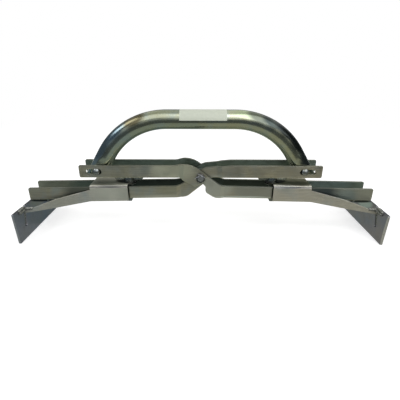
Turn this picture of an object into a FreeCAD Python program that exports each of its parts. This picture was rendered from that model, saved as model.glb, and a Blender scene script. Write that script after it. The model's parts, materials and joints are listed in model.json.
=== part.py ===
import FreeCAD, Part
import math
import os

# Paving slab lifter: crossed pairs of flat arms, a bent tube handle and two sliding jaws
# All lengths are in millimetres. X runs across the slab, Y is depth, Z is up.
# The origin lies on the ground, under the pivot, in the middle plane.

# Overall places, from the pivot
pivot_height = 79.5
grip_half_span = 238.6
grip_lean = 1.4

# Arm plates
plate_thickness = 4.0
arm_gap = 24.4
limb_height = 17.0
lower_limb_reach = 238.0
upper_limb_drop = 0.8
lower_limb_drop = 12.2
lower_limb_droop = 1.05
limb_corner_radius = 2.0
plate_play = 0.3
joggle_upper_half = 23.0
joggle_lower_half = 27.0
joggle_run = 6.0
joggle_radius = 3.0

# Outline of the arms near the pivot, as shares of the limb height: x, z and corner radius
outer_top_shares = ((-2.0, None, 1.2), (-1.6, 1.07, 1.2), (-0.64, 1.07, 2.0))
outer_foot_shares = ((0.47, -1.29, 0.15), (0.39, -1.1, 0.06), (0.4, -0.78, 0.1), (0.2, -0.53, 0.15),
                     (0.0, -0.53, 0.3), (-0.45, -0.76, 0.09), (-1.47, -0.2, 0.12), (-1.56, None, 0.06))
inner_top_shares = ((-2.5, None, 3.0), (-0.18, 0.74, 1.2))
inner_foot_shares = ((-0.65, -0.26, 0.35), (-0.95, None, 0.35))
throat_x_share = 1.72
throat_radius_share = 1.4
heel_x_share = 1.15
heel_radius_share = 0.9

# Pivot bolt, nut, washer and spacer
pivot_diameter = 6.0
pivot_play = 0.05
pivot_side_play = 0.1
hex_across_flats = 10.0
hex_head_height = 4.0
hex_nut_height = 5.0
hex_chamfer = 0.8
pivot_washer_diameter = 12.0
pivot_washer_thickness = 1.6
pivot_end = 2.0
pivot_end_chamfer = 0.8
spacer_diameter = 12.0

# Handle tube
tube_diameter = 25.0
tube_wall = 2.0
handle_rise = 74.7
handle_top_half = 45.0
handle_bend_radius = 97.0
handle_leg_angle = 58.0
squeeze_side_play = 1.0
squeezed_length = 10.0
tube_end_lift = 0.5

# Paper label round the tube
label_start = -27.5
label_end = 33.5
label_thickness = 0.15
label_low_angle = 2.0
label_high_angle = 138.0

# Handle pins and the slots that they run in
pin_diameter = 6.0
pin_hole_play = 0.05
pin_head_diameter = 9.5
pin_head_height = 3.0
pin_head_play = 0.3
pin_to_slot_middle = 3.9
slot_length = 21.0
slot_to_limb_end = 9.0
slot_play = 0.5

# Jaw: bent sheet sleeve with two splayed arms, laid out along the lower limb
sheet_thickness = 3.0
sleeve_start = 100.0
sleeve_length = 52.0
sleeve_side_play = 0.4
sleeve_top_play = 0.3
sleeve_skirt = 2.5
sleeve_bend_radius = 4.0
jaw_arm_bend_start = 2.0
jaw_arm_bend_radius = 9.0
jaw_arm_splay = 9.0
jaw_arm_root_drop = 6.3
jaw_arm_end_height = 1.2
jaw_arm_end_drop = 32.8
jaw_arm_end_stick_out = 3.0
jaw_arm_knee_share = 0.48
jaw_arm_upper_knee_share = 0.385
jaw_arm_lower_knee_share = 0.52
jaw_arm_knee_radius = 60.0

# Blade
blade_thickness = 3.0
blade_width = 118.0
blade_height = 42.5
blade_corner_radius = 1.5
blade_slot_depth = 27.5
blade_slot_play = 0.9
blade_slot_lean = 15.0

# Weld beads at the blade
weld_radius = 2.5
weld_length = 22.0
weld_drop = 6.0
weld_shift = 4.5

# Clamp: stud, bar, washer and wing nut
stud_x = 100.5
stud_diameter = 8.0
stud_hole_play = 0.3
stud_fit_play = 0.02
tongue_radius = 9.5
clamp_bar_width = 7.0
clamp_bar_half_length = 14.0
clamp_bar_height = 5.0
clamp_bar_chamfer = 0.8
clamp_bar_play = 0.2
clamp_washer_diameter = 16.0
clamp_washer_thickness = 1.2
wing_thread_play = 0.05
wing_hub_diameter = 14.0
wing_hub_top_diameter = 12.0
wing_hub_height = 5.5
wing_half_span = 20.5
wing_height = 7.0
wing_thickness = 3.2
wing_lobe_start = 8.2
wing_edge_radius = 0.9
wing_tip_share = 0.25
wing_top_share = 0.167
wing_waist_share = 0.125
stud_top_gap = 0.6

cut_overrun = 1.0
least_edge = 0.001

# Derived sizes
plate_inner = arm_gap / 2
plate_outer = plate_inner + plate_thickness
joggle = (plate_thickness + plate_play) / 2
upper_bottom = -upper_limb_drop
upper_top = limb_height - upper_limb_drop
slot_height = pin_diameter + 2 * slot_play
slot_z = upper_bottom + limb_height / 2
droop_slope = math.tan(math.radians(lower_limb_droop))
sleeve_top = -lower_limb_drop + sleeve_top_play + sheet_thickness
sleeve_bottom = -lower_limb_drop - limb_height - sleeve_skirt
sleeve_inner = plate_outer + sleeve_side_play
sleeve_outer = sleeve_inner + sheet_thickness
sleeve_end = sleeve_start + sleeve_length
blade_top = blade_height - pivot_height


def vector(x, y, z):
    return FreeCAD.Vector(x, y, z)


def rounded_wire(points, place):
    """Closed wire through (u, v, corner radius) points, each placed in space by place(u, v)."""
    count = len(points)
    turns = []
    reaches = []
    lengths = []
    for i, (u, v, radius) in enumerate(points):
        before = points[i - 1]
        after = points[(i + 1) % count]
        into = math.atan2(v - before[1], u - before[0])
        out = math.atan2(after[1] - v, after[0] - u)
        turn = math.remainder(out - into, 2 * math.pi)
        turns.append((into, out, turn))
        reaches.append(radius * math.tan(abs(turn) / 2))
        lengths.append(math.hypot(u - before[0], v - before[1]))
    ends = []
    for i, (u, v, _) in enumerate(points):
        into, out, turn = turns[i]
        wanted = max(reaches[i], least_edge)
        after = (i + 1) % count
        room = min(1, lengths[i] / (reaches[i - 1] + wanted), lengths[after] / (reaches[after] + wanted))
        reach = reaches[i] * room
        start = (u - reach * math.cos(into), v - reach * math.sin(into))
        end = (u + reach * math.cos(out), v + reach * math.sin(out))
        middle = None
        if reach > least_edge:
            bend = reach / math.tan(abs(turn) / 2)
            side = math.copysign(1, turn)
            cu = start[0] - side * bend * math.sin(into)
            cv = start[1] + side * bend * math.cos(into)
            away = math.atan2(v - cv, u - cu)
            middle = (cu + bend * math.cos(away), cv + bend * math.sin(away))
        ends.append((start, middle, end))
    edges = []
    for i, (start, middle, end) in enumerate(ends):
        if middle:
            edges.append(Part.Arc(place(*start), place(*middle), place(*end)).toShape())
        following = ends[(i + 1) % count][0]
        if math.dist(end, following) > least_edge:
            edges.append(Part.LineSegment(place(*end), place(*following)).toShape())
    return Part.Wire(edges)


def prism_y(points, y0, y1):
    """Solid with an outline in X and Z, from y0 to y1."""
    face = Part.Face(rounded_wire(points, lambda x, z: vector(x, y0, z)))
    return face.extrude(vector(0, y1 - y0, 0))


def prism_z(points, z0, z1):
    """Solid with an outline in X and Y, from z0 to z1."""
    face = Part.Face(rounded_wire(points, lambda x, y: vector(x, y, z0)))
    return face.extrude(vector(0, 0, z1 - z0))


def prism_x(points, x0, x1):
    """Solid with an outline in Y and Z, from x0 to x1."""
    face = Part.Face(rounded_wire(points, lambda y, z: vector(x0, y, z)))
    return face.extrude(vector(x1 - x0, 0, 0))


def rod_y(radius, y0, y1, x, z):
    return Part.makeCylinder(radius, y1 - y0, vector(x, y0, z), vector(0, 1, 0))


def rod_z(radius, z0, z1, x):
    return Part.makeCylinder(radius, z1 - z0, vector(x, 0, z0), vector(0, 0, 1))


def mirror_x(shape):
    return shape.mirror(vector(0, 0, 0), vector(1, 0, 0))


def mirror_y(shape):
    return shape.mirror(vector(0, 0, 0), vector(0, 1, 0))


def save(name, shape):
    """Lift the shape from the pivot frame to the ground frame and write it."""
    placed = shape.copy()
    placed.translate(vector(0, 0, pivot_height))
    placed.exportStep("parts/" + name + ".step")
    print(name, "valid", placed.isValid(), "solids", len(placed.Solids), "volume", round(placed.Volume))


# Arms
def limb_line(x, drop):
    """Height of a lower limb edge at x, for an edge that lies drop below the pivot at x = 0."""
    return -drop - droop_slope * x


def shared_points(shares, edge_z):
    """Outline points from shares of the limb height, with edge_z where a share is left open."""
    points = []
    for x_share, z_share, radius_share in shares:
        z = edge_z if z_share is None else z_share * limb_height
        points.append((x_share * limb_height, z, radius_share * limb_height))
    return points


def arm_outline(top_shares, foot_shares):
    """Outline of an arm whose upper limb runs to -X and lower limb to +X."""
    limb_bottom_drop = lower_limb_drop + limb_height
    throat_x = throat_x_share * limb_height
    heel_x = heel_x_share * limb_height
    reach = upper_limb_reach()
    points = [(-reach, upper_bottom, limb_corner_radius), (-reach, upper_top, limb_corner_radius)]
    points += shared_points(top_shares, upper_top)
    points += [(throat_x, limb_line(throat_x, lower_limb_drop), throat_radius_share * limb_height),
               (lower_limb_reach, limb_line(lower_limb_reach, lower_limb_drop), limb_corner_radius),
               (lower_limb_reach, limb_line(lower_limb_reach, limb_bottom_drop), limb_corner_radius),
               (heel_x, limb_line(heel_x, limb_bottom_drop), heel_radius_share * limb_height)]
    points += shared_points(foot_shares, upper_bottom)
    return points


def joggled_band(shift):
    """Plate seen from above on the front side, moved by shift towards the viewer near the pivot."""
    bend = joggle_radius
    reach = lower_limb_reach + cut_overrun
    raised = -plate_outer - shift
    outer = [(-reach, -plate_outer, 0), (-joggle_upper_half - joggle_run, -plate_outer, bend),
             (-joggle_upper_half, raised, bend), (joggle_lower_half, raised, bend),
             (joggle_lower_half + joggle_run, -plate_outer, bend), (reach, -plate_outer, 0)]
    inner = [(x, y + plate_thickness, r) for x, y, r in reversed(outer)]
    low = limb_line(lower_limb_reach, lower_limb_drop + limb_height) - cut_overrun
    high = 2 * limb_height
    return prism_z(outer + inner, low, high)


def slot_middle():
    """Distance of the middle of each arm slot from the pivot."""
    return pin_place().x + pin_to_slot_middle


def upper_limb_reach():
    return slot_middle() + slot_length / 2 + slot_to_limb_end


def arm_slot():
    """Long hole in the upper limb, in which a handle pin runs."""
    half = slot_length / 2
    middle = slot_middle()
    low = slot_z - slot_height / 2
    high = slot_z + slot_height / 2
    ends = slot_height / 2
    points = [(-middle - half, low, ends), (-middle - half, high, ends),
              (-middle + half, high, ends), (-middle + half, low, ends)]
    return prism_y(points, -plate_outer - cut_overrun, -plate_inner + cut_overrun)


def arm_plate(top_shares, foot_shares, shift):
    """Front plate of an arm with its upper limb to -X."""
    depth = plate_outer + joggle + cut_overrun
    outline = prism_y(arm_outline(top_shares, foot_shares), -depth, 0)
    plate = joggled_band(shift).common(outline)
    bore = rod_y(pivot_diameter / 2 + pivot_play, -depth, 0, 0, 0)
    return plate.cut(bore).cut(arm_slot())


# Pivot
def hexagon_y(across_flats, y0, y1, chamfer_front):
    """Hexagon along Y with corners up and down, its outer face chamfered."""
    corner = across_flats / math.sqrt(3)
    points = []
    for k in range(6):
        angle = math.radians(60 * k + 30)
        points.append((corner * math.cos(angle), corner * math.sin(angle), 0))
    body = prism_y(points, y0, y1)
    flat = across_flats / 2
    rim = hex_chamfer + corner - flat
    if chamfer_front:
        cone = Part.makeCone(flat, flat + 2 * rim, 2 * rim, vector(0, y0, 0), vector(0, 1, 0))
        rest = rod_y(flat + 2 * rim, y0 + 2 * rim, y1 + 2 * rim, 0, 0)
    else:
        cone = Part.makeCone(flat, flat + 2 * rim, 2 * rim, vector(0, y1, 0), vector(0, -1, 0))
        rest = rod_y(flat + 2 * rim, y0 - 2 * rim, y1 - 2 * rim, 0, 0)
    return body.common(cone.fuse(rest))


def pivot_parts():
    seat = plate_outer + joggle + pivot_side_play
    head = hexagon_y(hex_across_flats, -seat - hex_head_height, -seat, True)
    nut_start = seat + pivot_washer_thickness
    nut_end = nut_start + hex_nut_height
    radius = pivot_diameter / 2
    shank = rod_y(radius, -seat, nut_end + pivot_end - pivot_end_chamfer, 0, 0)
    tip = Part.makeCone(radius, radius - pivot_end_chamfer, pivot_end_chamfer,
                        vector(0, nut_end + pivot_end - pivot_end_chamfer, 0), vector(0, 1, 0))
    bolt = head.fuse([shank, tip]).removeSplitter()
    hole = rod_y(radius + stud_fit_play, -seat, nut_end + cut_overrun, 0, 0)
    nut = hexagon_y(hex_across_flats, nut_start, nut_end, False).cut(hole)
    washer = rod_y(pivot_washer_diameter / 2, seat, nut_start, 0, 0).cut(hole)
    inside = plate_inner - joggle - pivot_side_play
    spacer = rod_y(spacer_diameter / 2, -inside, inside, 0, 0).cut(hole)
    return bolt, nut, washer, spacer


# Handle
def handle_bend_point(share):
    """Point on the axis of the handle's bend, at a share of its turn."""
    turn = share * math.radians(handle_leg_angle)
    x = handle_top_half + handle_bend_radius * math.sin(turn)
    z = handle_rise - handle_bend_radius * (1 - math.cos(turn))
    return vector(x, 0, z)


def pin_place():
    """Where the leg of the handle crosses the middle of the arm slots."""
    corner = handle_bend_point(1)
    x = corner.x + (corner.z - slot_z) / math.tan(math.radians(handle_leg_angle))
    return vector(x, 0, slot_z)


def section_wire(centre, across, points, round_sides):
    """Wire of four edges through eight points of a tube section, given as (across, depth) pairs."""
    corners = [centre + across * a + vector(0, b, 0) for a, b in points]
    edges = []
    for k in range(0, 8, 2):
        ends = (corners[k], corners[(k + 2) % 8])
        if round_sides or k % 4 == 0:
            edges.append(Part.Arc(ends[0], corners[k + 1], ends[1]).toShape())
        else:
            edges.append(Part.LineSegment(*ends).toShape())
    return Part.Wire(edges)


def oval_section(centre, across, radius, half):
    """Tube squeezed between the plates: two half circles joined by flats of twice the given half."""
    points = ((half, -radius), (half + radius, 0), (half, radius), (0, radius),
              (-half, radius), (-half - radius, 0), (-half, -radius), (0, -radius))
    return section_wire(centre, across, points, False)


def round_section(centre, across, radius, half):
    """Round tube, split where the flats of the squeezed end begin."""
    a = radius * math.sin(half / radius)
    b = radius * math.cos(half / radius)
    points = ((a, -b), (radius, 0), (a, b), (0, radius), (-a, b), (-radius, 0), (-a, -b), (0, -radius))
    return section_wire(centre, across, points, True)


def handle_solid(inset):
    """Half of the handle to +X, as a solid of the tube's outside drawn in by inset."""
    radius = tube_diameter / 2 - inset
    squeezed = plate_inner - squeeze_side_play - inset
    half = math.pi * (radius - squeezed) / 2
    turn = math.radians(handle_leg_angle)
    down = vector(math.cos(turn), 0, -math.sin(turn))
    across = vector(math.sin(turn), 0, math.cos(turn))
    top = handle_bend_point(0)
    corner = handle_bend_point(1)
    pin = pin_place()
    flat_from = pin - down * squeezed_length
    foot = down * (squeezed_length + tube_diameter)
    path = Part.Wire([Part.LineSegment(vector(0, 0, handle_rise), top).toShape(),
                      Part.Arc(top, handle_bend_point(1 / 2), corner).toShape()])
    circle = Part.Wire(Part.makeCircle(radius, vector(0, 0, handle_rise), vector(1, 0, 0)))
    bend = path.makePipeShell([circle], True, False)
    loft = Part.makeLoft([round_section(corner, across, radius, half),
                          oval_section(flat_from, across, squeezed, half)], True)
    end = Part.Face(oval_section(flat_from, across, squeezed, half)).extrude(foot)
    return bend.fuse([loft, end]).removeSplitter()


def handle_tube():
    """Whole handle tube, its ends squeezed flat and cut level just inside the plates."""
    half = handle_solid(0).cut(handle_solid(tube_wall))
    size = 2 * upper_limb_reach()
    below = Part.makeBox(size, size, size, vector(0, -size / 2, upper_bottom + tube_end_lift - size))
    pin = pin_place()
    hole = rod_y(pin_diameter / 2 + pin_hole_play, -tube_diameter, tube_diameter, pin.x, pin.z)
    half = half.cut(below).cut(hole)
    return half.fuse(mirror_x(half)).removeSplitter()


def handle_label():
    """Blank label wrapped over the top of the straight run of the tube."""
    radius = tube_diameter / 2
    low = math.radians(label_low_angle)

    def place(x, r):
        return vector(x, -r * math.cos(low), handle_rise + r * math.sin(low))

    points = [(label_start, radius, 0), (label_end, radius, 0),
              (label_end, radius + label_thickness, 0), (label_start, radius + label_thickness, 0)]
    face = Part.Face(rounded_wire(points, place))
    return face.revolve(vector(0, 0, handle_rise), vector(-1, 0, 0), label_high_angle - label_low_angle)


def handle_pin():
    """Rivet with domed heads, at the right handle end."""
    pin = pin_place()
    face = plate_outer + pin_head_play
    rim = pin_head_diameter / 2
    high = face + pin_head_height
    shank = rod_y(pin_diameter / 2, -face, face, pin.x, pin.z)
    dome = (rim * rim + pin_head_height * pin_head_height) / (2 * pin_head_height)
    ball = Part.makeSphere(dome, vector(pin.x, high - dome, pin.z))
    head = ball.common(rod_y(rim, face, high, pin.x, pin.z))
    return shank.fuse([head, mirror_y(head)]).removeSplitter()


# Jaw, built along the level lower limb of the +X side and then turned by the droop
def droop_turn(shape):
    """Copy of a shape laid out along a level limb, turned down to the droop of the real one."""
    turned = shape.copy()
    turned.rotate(vector(0, 0, 0), vector(0, 1, 0), lower_limb_droop)
    return turned


def blade_face(z):
    """Distance of the blade's inner face from the middle at height z from the pivot."""
    share = (z + pivot_height) / blade_height
    return grip_half_span + grip_lean * share


def jaw_arm_end_x():
    return blade_face(blade_top) + blade_thickness + jaw_arm_end_stick_out


def jaw_arm_y(x):
    """Depth of the middle of the front jaw arm at x."""
    start = sleeve_end + jaw_arm_bend_start
    middle = sleeve_outer - sheet_thickness / 2
    return middle + (x - start) * math.tan(math.radians(jaw_arm_splay))


def jaw_arm_plan():
    """Front cheek and splayed arm seen from above."""
    half = sheet_thickness / 2
    splay = math.radians(jaw_arm_splay)
    start = sleeve_start + sleeve_length / 2
    bend = sleeve_end + jaw_arm_bend_start
    middle = sleeve_outer - half
    end = jaw_arm_end_x()
    shift = half * math.tan(splay / 2)
    step_x = half * math.sin(splay)
    step_y = half * math.cos(splay)
    end_y = jaw_arm_y(end)
    outer_radius = jaw_arm_bend_radius
    inner_radius = jaw_arm_bend_radius + sheet_thickness
    outer = [(start, -middle - half, 0), (bend + shift, -middle - half, outer_radius),
             (end - step_x, -end_y - step_y, 0)]
    inner = [(end + step_x, -end_y + step_y, 0), (bend - shift, -middle + half, inner_radius),
             (start, -middle + half, 0)]
    return outer + inner


def jaw_arm_side():
    """Cheek and tapered arm seen from the front."""
    start = sleeve_start + sleeve_length / 2
    end = jaw_arm_end_x() + sheet_thickness
    length = end - sleeve_end
    root_top = sleeve_top - jaw_arm_root_drop
    end_top = sleeve_top - jaw_arm_end_drop
    end_bottom = end_top - jaw_arm_end_height
    knee_x = sleeve_end + length * jaw_arm_knee_share
    upper_knee = root_top + (end_top - root_top) * jaw_arm_upper_knee_share
    lower_knee = sleeve_bottom + (end_bottom - sleeve_bottom) * jaw_arm_lower_knee_share
    knee = jaw_arm_knee_radius
    level = sleeve_top - sleeve_bend_radius
    return [(start, sleeve_bottom, 0), (start, level, 0), (sleeve_end, level, 0),
            (sleeve_end, root_top, sheet_thickness / 2), (knee_x, upper_knee, knee), (end, end_top, 0),
            (end, end_bottom, 0), (knee_x, lower_knee, knee), (sleeve_end, sleeve_bottom, knee / 2)]


def sleeve():
    """Channel over the two limb plates, open below."""
    bend = sleeve_bend_radius
    inner_bend = sleeve_bend_radius - sheet_thickness
    roof = sleeve_top - sheet_thickness
    outside = [(-sleeve_outer, sleeve_bottom, 0), (-sleeve_outer, sleeve_top, bend),
               (sleeve_outer, sleeve_top, bend), (sleeve_outer, sleeve_bottom, 0)]
    inside = [(sleeve_inner, sleeve_bottom, 0), (sleeve_inner, roof, inner_bend),
              (-sleeve_inner, roof, inner_bend), (-sleeve_inner, sleeve_bottom, 0)]
    return prism_x(outside + inside, sleeve_start, sleeve_end)


def jaw_body():
    """Sleeve, its tongue for the stud and both splayed arms, as one bent sheet."""
    roof = sleeve_top - sheet_thickness
    tongue = rod_z(tongue_radius, roof, sleeve_top, stud_x)
    low = sleeve_top - jaw_arm_end_drop - jaw_arm_end_height - cut_overrun
    arm = prism_z(jaw_arm_plan(), low, sleeve_top).common(prism_y(jaw_arm_side(), -blade_width, 0))
    body = sleeve().fuse([tongue, arm, mirror_y(arm)])
    hole = rod_z(stud_diameter / 2 + stud_hole_play, roof - cut_overrun, sleeve_top + cut_overrun, stud_x)
    return body.cut(hole).removeSplitter()


def blade_slot():
    """Open slot for the front jaw arm, following its splay and leaning out towards its foot."""
    half = (sheet_thickness + 2 * blade_slot_play) / 2
    middle_x = blade_face(blade_top) + blade_thickness / 2
    middle_y = -jaw_arm_y(middle_x)
    bottom = blade_top - blade_slot_depth
    top = blade_top + blade_slot_depth
    points = [(middle_y - half, bottom, half), (middle_y + half, bottom, half),
              (middle_y + half, top, 0), (middle_y - half, top, 0)]
    reach = 3 * blade_thickness
    slot = prism_x(points, middle_x - reach, middle_x + reach)
    slot.rotate(vector(middle_x, middle_y, blade_top - weld_drop), vector(1, 0, 0), -blade_slot_lean)
    slot.rotate(vector(middle_x, middle_y, 0), vector(0, 0, 1), -jaw_arm_splay)
    return slot


def blade():
    """Grip blade of the +X side, in its resting place."""
    top = blade_face(blade_top)
    points = [(grip_half_span, -pivot_height, 0), (top, blade_top, 0),
              (top + blade_thickness, blade_top, 0), (grip_half_span + blade_thickness, -pivot_height, 0)]
    half = blade_width / 2
    slab = prism_y(points, -half, half)
    corner = blade_corner_radius
    outline = [(-half, -pivot_height, corner), (half, -pivot_height, corner),
               (half, blade_top, corner), (-half, blade_top, corner)]
    face = prism_x(outline, grip_half_span - blade_thickness, grip_half_span + 3 * blade_thickness)
    cutter = blade_slot()
    return slab.common(face).cut(cutter).cut(mirror_y(cutter))


def jaw_weld(body, plate):
    """Bead on the inner face of the blade, across the end of the front arm."""
    z = blade_top - weld_drop
    x = blade_face(z)
    middle = jaw_arm_y(x) + weld_shift
    start = vector(x, -middle - weld_length / 2 + weld_radius, z)
    bead = Part.makeCylinder(weld_radius, weld_length - 2 * weld_radius, start, vector(0, 1, 0))
    near = Part.makeSphere(weld_radius, start)
    far = Part.makeSphere(weld_radius, start + vector(0, weld_length - 2 * weld_radius, 0))
    bead = bead.fuse([near, far]).removeSplitter()
    trimmed = bead.cut([body, plate])
    return max(trimmed.Solids, key=lambda solid: solid.Volume)


# Clamp
def clamp_parts():
    """Stud welded to its bar under the limbs, washer and wing nut of the +X side."""
    limb_bottom = -lower_limb_drop - limb_height
    bar_top = limb_bottom - clamp_bar_play
    bar_bottom = bar_top - clamp_bar_height
    seat = sleeve_top
    nut_seat = seat + clamp_washer_thickness
    stud_top = nut_seat + wing_height - stud_top_gap
    radius = stud_diameter / 2
    stud = rod_z(radius, bar_bottom, stud_top, stud_x)
    rims = [edge for edge in stud.Edges if edge.Closed]
    stud = stud.makeChamfer(stud_top_gap, rims)
    half = clamp_bar_width / 2
    chamfer = clamp_bar_chamfer
    points = [(stud_x - half, bar_bottom, chamfer), (stud_x - half, bar_top, chamfer),
              (stud_x + half, bar_top, chamfer), (stud_x + half, bar_bottom, chamfer)]
    bar = prism_y(points, -clamp_bar_half_length, clamp_bar_half_length)
    bolt = stud.fuse(bar).removeSplitter()
    hole = rod_z(radius + stud_hole_play, seat - cut_overrun, nut_seat + cut_overrun, stud_x)
    washer = rod_z(clamp_washer_diameter / 2, seat, nut_seat, stud_x).cut(hole)
    return bolt, washer, wing_nut(nut_seat)


def wing_nut(seat):
    """Round hub with two flat lobes that spread along the arm."""
    hub = Part.makeCone(wing_hub_diameter / 2, wing_hub_top_diameter / 2, wing_hub_height,
                        vector(stud_x, 0, seat), vector(0, 0, 1))
    neck = wing_hub_top_diameter / 4
    waist = wing_height / 2
    lobe = wing_half_span - wing_lobe_start
    tip = lobe * wing_tip_share
    corner = lobe * wing_top_share
    cheek = lobe * wing_waist_share
    top = seat + wing_height
    start = stud_x + wing_lobe_start
    end = stud_x + wing_half_span
    points = [(stud_x + neck, seat + wing_edge_radius, 0), (start, seat + wing_edge_radius / 2, 0),
              (end - tip, seat, tip), (end, seat + waist, tip), (end, top, corner),
              (start + cheek, top, corner), (start - wing_edge_radius, seat + waist, cheek),
              (stud_x + neck, seat + waist, 0)]
    half = wing_thickness / 2
    wing = prism_y(points, -half, half)
    other = wing.copy()
    other.rotate(vector(stud_x, 0, 0), vector(0, 0, 1), 180)
    body = hub.fuse([wing, other]).removeSplitter()
    bore = rod_z(stud_diameter / 2 + wing_thread_play, seat - cut_overrun, top + cut_overrun, stud_x)
    return body.cut(bore)


def build():
    os.makedirs("parts", exist_ok=True)

    outer_front = arm_plate(outer_top_shares, outer_foot_shares, joggle)
    inner_front = mirror_x(arm_plate(inner_top_shares, inner_foot_shares, -joggle))
    save("outer_arm_front", outer_front)
    save("outer_arm_back", mirror_y(outer_front))
    save("inner_arm_front", inner_front)
    save("inner_arm_back", mirror_y(inner_front))

    for name, shape in zip(("pivot_bolt", "pivot_nut", "pivot_washer", "pivot_spacer"), pivot_parts()):
        save(name, shape)

    save("handle_tube", handle_tube())
    save("handle_label", handle_label())
    pin = handle_pin()

    body = jaw_body()
    turned_body = droop_turn(body)
    plate = blade()
    bolt, washer, nut = clamp_parts()
    weld = jaw_weld(turned_body, plate)
    pieces = {"handle_pin": pin, "jaw_body": turned_body, "blade": plate,
              "weld_front": weld, "weld_back": mirror_y(weld), "clamp_bolt": droop_turn(bolt),
              "clamp_washer": droop_turn(washer), "wing_nut": droop_turn(nut)}
    for name, shape in pieces.items():
        save("right_" + name, shape)
        save("left_" + name, mirror_x(shape))


build()
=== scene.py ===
import json
import logging
import math
from dataclasses import dataclass, replace
from enum import Enum
from typing import Any, Callable, Dict, List, Optional, Sequence, Tuple

import bmesh
import bpy
from mathutils import Matrix, Vector

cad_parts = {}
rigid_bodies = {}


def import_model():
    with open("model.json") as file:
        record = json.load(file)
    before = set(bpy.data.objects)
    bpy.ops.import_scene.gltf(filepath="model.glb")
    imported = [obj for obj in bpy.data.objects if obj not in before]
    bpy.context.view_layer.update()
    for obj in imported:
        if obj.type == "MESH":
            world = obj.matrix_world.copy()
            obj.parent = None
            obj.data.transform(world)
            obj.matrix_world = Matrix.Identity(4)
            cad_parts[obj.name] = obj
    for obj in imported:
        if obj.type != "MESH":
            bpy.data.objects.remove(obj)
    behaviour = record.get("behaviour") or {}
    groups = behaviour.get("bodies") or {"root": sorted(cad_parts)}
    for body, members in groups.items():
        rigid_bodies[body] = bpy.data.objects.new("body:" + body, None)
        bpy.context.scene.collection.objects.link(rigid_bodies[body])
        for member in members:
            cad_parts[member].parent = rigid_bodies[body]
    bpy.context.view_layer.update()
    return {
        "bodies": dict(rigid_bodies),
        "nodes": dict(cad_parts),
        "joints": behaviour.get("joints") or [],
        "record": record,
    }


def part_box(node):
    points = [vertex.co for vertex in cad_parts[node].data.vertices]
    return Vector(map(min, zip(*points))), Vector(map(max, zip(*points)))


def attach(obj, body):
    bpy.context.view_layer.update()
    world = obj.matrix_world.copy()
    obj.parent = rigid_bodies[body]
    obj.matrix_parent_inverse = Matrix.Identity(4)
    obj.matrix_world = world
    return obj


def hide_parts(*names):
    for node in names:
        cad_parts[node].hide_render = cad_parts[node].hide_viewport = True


# Zinc-plated paving slab lifter: crossed flat arms, a bent tube handle and two clamped jaws
LOG = logging.getLogger("slab_lifter")
MM = 0.001
QUARTER_TURN = math.pi / 2

# Closer than this, two vertices of a CAD mesh are one
DOUBLES = 0.002 * MM

# Faces of a CAD mesh that turn by less than this, in degrees, are one flat face
FLAT_DEGREES = 0.4

# Height in metres of a card that lies just over the floor
SKIM = 0.0006

Colour = Tuple[float, float, float, float]
Triple = Tuple[float, float, float]
Pair = Tuple[float, float]
Piece = bpy.types.Object
Material = bpy.types.Material
Tree = bpy.types.NodeTree
Socket = bpy.types.NodeSocket


class Side(Enum):
    """The two halves of the lifter, with the sign of their X."""

    LEFT = ("left", -1)
    RIGHT = ("right", 1)

    @property
    def word(self) -> str:
        """Name of the side."""
        return self.value[0]

    @property
    def sign(self) -> int:
        """Sign of X on that side."""
        return self.value[1]


class Slot(Enum):
    """Material slots of the record."""

    ARM = "arm_plate"
    JAW = "jaw_sheet"
    BLADE = "blade"
    TUBE = "handle_tube"
    FASTENER = "fastener"
    WING = "wing_nut"
    WELD = "weld"
    LABEL = "label"


def linear(code: str) -> Colour:
    """Turn an sRGB hex code into the linear colour that a shader takes.

    Args:
        code: Six hex digits, with or without a leading hash.

    Returns:
        Linear red, green and blue, and an alpha of 1.
    """
    digits = code.lstrip("#")
    channels = []
    for start in (0, 2, 4):
        share = int(digits[start:start + 2], 16) / 255
        channels.append(share / 12.92 if share <= 0.04045 else ((share + 0.055) / 1.055) ** 2.4)
    return (channels[0], channels[1], channels[2], 1.0)


def per_metre(size_mm: float) -> float:
    """Texture scale on coordinates in metres for a feature of the given size in millimetres."""
    return 1 / (size_mm * MM)


def add(tree: Tree, kind: str, values: Optional[Dict[Any, Any]] = None,
        links: Optional[Dict[Any, Any]] = None, **settings: Any) -> bpy.types.Node:
    """Add a node with its settings and links.

    Args:
        tree: Node tree that gets the node.
        kind: Type name of the node, without the word ShaderNode before it.
        values: Input socket to its fixed value.
        links: Input socket to what feeds it: an output socket, or a node for its first output.
        settings: Attributes of the node itself.

    Returns:
        The new node.
    """
    node = tree.nodes.new("ShaderNode" + kind)
    for name, value in settings.items():
        setattr(node, name, value)
    for socket, value in (values or {}).items():
        node.inputs[socket].default_value = value
    for socket, source in (links or {}).items():
        output = source.outputs[0] if isinstance(source, bpy.types.Node) else source
        tree.links.new(output, node.inputs[socket])
    return node


def bare_material(name: str) -> Material:
    """Make a material with an empty node tree."""
    material = bpy.data.materials.new(name)
    material.use_nodes = True
    material.node_tree.nodes.clear()
    return material


def only(piece: Piece) -> None:
    """Select one object alone and make it active."""
    bpy.ops.object.select_all(action="DESELECT")
    piece.select_set(True)
    bpy.context.view_layer.objects.active = piece


def edit(piece: Piece, everything: bool = True) -> None:
    """Enter edit mode on one object.

    Args:
        piece: The object.
        everything: Whether all of it is selected, or nothing.
    """
    only(piece)
    bpy.ops.object.mode_set(mode="EDIT")
    bpy.ops.mesh.select_mode(type="VERT")
    bpy.ops.mesh.select_all(action="SELECT" if everything else "DESELECT")


def leave() -> None:
    """Leave edit mode."""
    bpy.ops.object.mode_set(mode="OBJECT")


def settle(piece: Piece) -> None:
    """Move an object's place into its mesh, so that the object sits at the origin."""
    only(piece)
    bpy.ops.object.transform_apply(location=True, rotation=True, scale=True)


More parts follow.
